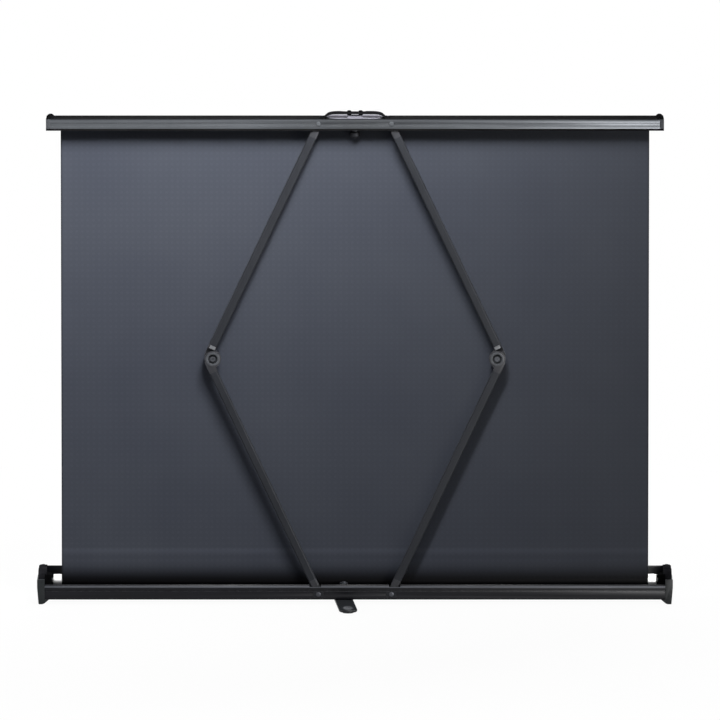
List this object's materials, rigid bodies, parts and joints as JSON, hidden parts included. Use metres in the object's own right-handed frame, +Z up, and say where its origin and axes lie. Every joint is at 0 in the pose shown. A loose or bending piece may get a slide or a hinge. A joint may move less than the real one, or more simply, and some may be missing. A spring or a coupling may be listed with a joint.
{
  "type": "tabletop projection screen",
  "caption": "Portable pull-up projection screen: a low tray with a roller, a lid bar on two folding elbow arms, black-backed cloth with a white viewing side, a swivelling foot.",
  "frame": {"origin": "on the floor under the middle of the raised screen's bounding box, below the foot's pivot line", "axes": "+Z up, +X to the right as seen from the viewing side, -Y towards the viewers"},
  "size_m": [0.925, 0.2316, 0.7213],
  "materials": {
    "rail": "black anodised satin",
    "lid": "dark grey anodised satin",
    "tube": "black satin tube",
    "moulding": "fine-grained moulding",
    "nylon": "natural nylon",
    "steel": "zinc plated",
    "rubber": "matt",
    "roller": "white enamel",
    "roller_plug": "white moulding",
    "cloth": "black-backed coated cloth",
    "viewing": "matt white viewing coat",
    "spring": "spring steel",
    "boss": "dark grey",
    "foot": "black powder coat",
    "plate": "light satin",
    "strap": "flexible black moulding"
  },
  "bodies": {
    "base": {"base_profile": "rail", "base_cap_right": "moulding", "base_cap_left": "moulding", "base_cap_screws": "steel", "base_pads": "rubber", "latch_keeper": "steel", "base_bosses": "boss", "base_rivets": "steel", "base_washers": "nylon", "foot_bolt": "steel", "foot_washers": "steel", "foot_spring": "spring", "foot_nut": "steel", "spring_arbor": "steel", "screen_cloth": "cloth", "viewing_surface": "viewing"},
    "foot": {"foot_bar": "foot", "foot_pads": "rubber"},
    "roller": {"roller_tube": "roller", "roller_plug_right": "roller_plug", "roller_plug_left": "roller_plug", "cloth_roll": "cloth", "torsion_spring": "spring"},
    "lower_right": {"lower_pivot_right": "moulding", "lower_tube_right": "tube", "lower_elbow_right": "moulding", "elbow_screw_right": "steel", "elbow_washer_right": "nylon", "elbow_nut_right": "steel"},
    "lower_left": {"lower_pivot_left": "moulding", "lower_tube_left": "tube", "lower_elbow_left": "moulding", "elbow_screw_left": "steel", "elbow_washer_left": "nylon", "elbow_nut_left": "steel"},
    "upper_right": {"upper_elbow_right": "moulding", "upper_tube_right": "tube", "upper_pivot_right": "moulding"},
    "upper_left": {"upper_elbow_left": "moulding", "upper_tube_left": "tube", "upper_pivot_left": "moulding"},
    "lid": {"lid_profile": "lid", "lid_cap_right": "moulding", "lid_cap_left": "moulding", "lid_rivets": "steel", "lid_washers": "nylon", "cloth_batten": "moulding", "handle_plate": "plate", "handle_clamps": "moulding", "handle_screws": "steel", "handle_strap": "strap", "latch_bush": "nylon", "latch_spring": "spring"},
    "latch": {"handle_yoke": "moulding", "latch_stud": "steel"}
  },
  "joints": [
    {"name": "fold", "type": "hinge", "parent": "base", "child": "lower_right", "pos_m": [0.053, 0.0078, 0.015], "axis": [0, 1, 0], "range_deg": [0, 64.1], "deforming": ["screen_cloth", "viewing_surface"]},
    {"name": "elbow_right", "type": "hinge", "parent": "lower_right", "child": "upper_right", "pos_m": [0.20652, 0.0078, 0.359], "axis": [0, 1, 0], "range_deg": [-128.2, 0]},
    {"name": "lid_pivot_right", "type": "hinge", "parent": "upper_right", "child": "lid", "pos_m": [0.053, 0.0078, 0.703], "axis": [0, 1, 0], "range_deg": [0, 64.1]},
    {"name": "fold_left", "type": "hinge", "parent": "base", "child": "lower_left", "pos_m": [-0.053, 0.0078, 0.015], "axis": [0, 1, 0], "range_deg": [-64.1, 0]},
    {"name": "elbow_left", "type": "hinge", "parent": "lower_left", "child": "upper_left", "pos_m": [-0.20652, 0.0078, 0.359], "axis": [0, 1, 0], "range_deg": [0, 128.2]},
    {"name": "roller_turn", "type": "hinge", "parent": "base", "child": "roller", "pos_m": [0, -0.02, 0.031], "axis": [1, 0, 0], "range_deg": [-3560, 0]},
    {"name": "foot_swivel", "type": "hinge", "parent": "base", "child": "foot", "pos_m": [0.0162, 0, 0.004], "axis": [0, 0, 1], "range_deg": [-93.5, 86.5]},
    {"name": "latch_lift", "type": "slide", "parent": "lid", "child": "latch", "axis": [0, 0, 1], "range_m": [0, 0.002], "stiffness_N_per_m": 500, "springref_m": -0.004, "deforming": ["latch_spring"]}
  ],
  "couplings": [
    {"joint": "elbow_right", "follows": "fold", "ratio": -2},
    {"joint": "lid_pivot_right", "follows": "fold", "ratio": 1},
    {"joint": "fold_left", "follows": "fold", "ratio": -1},
    {"joint": "elbow_left", "follows": "fold", "ratio": 2},
    {"joint": "roller_turn", "follows": "fold", "ratio": -55.5}
  ]
}
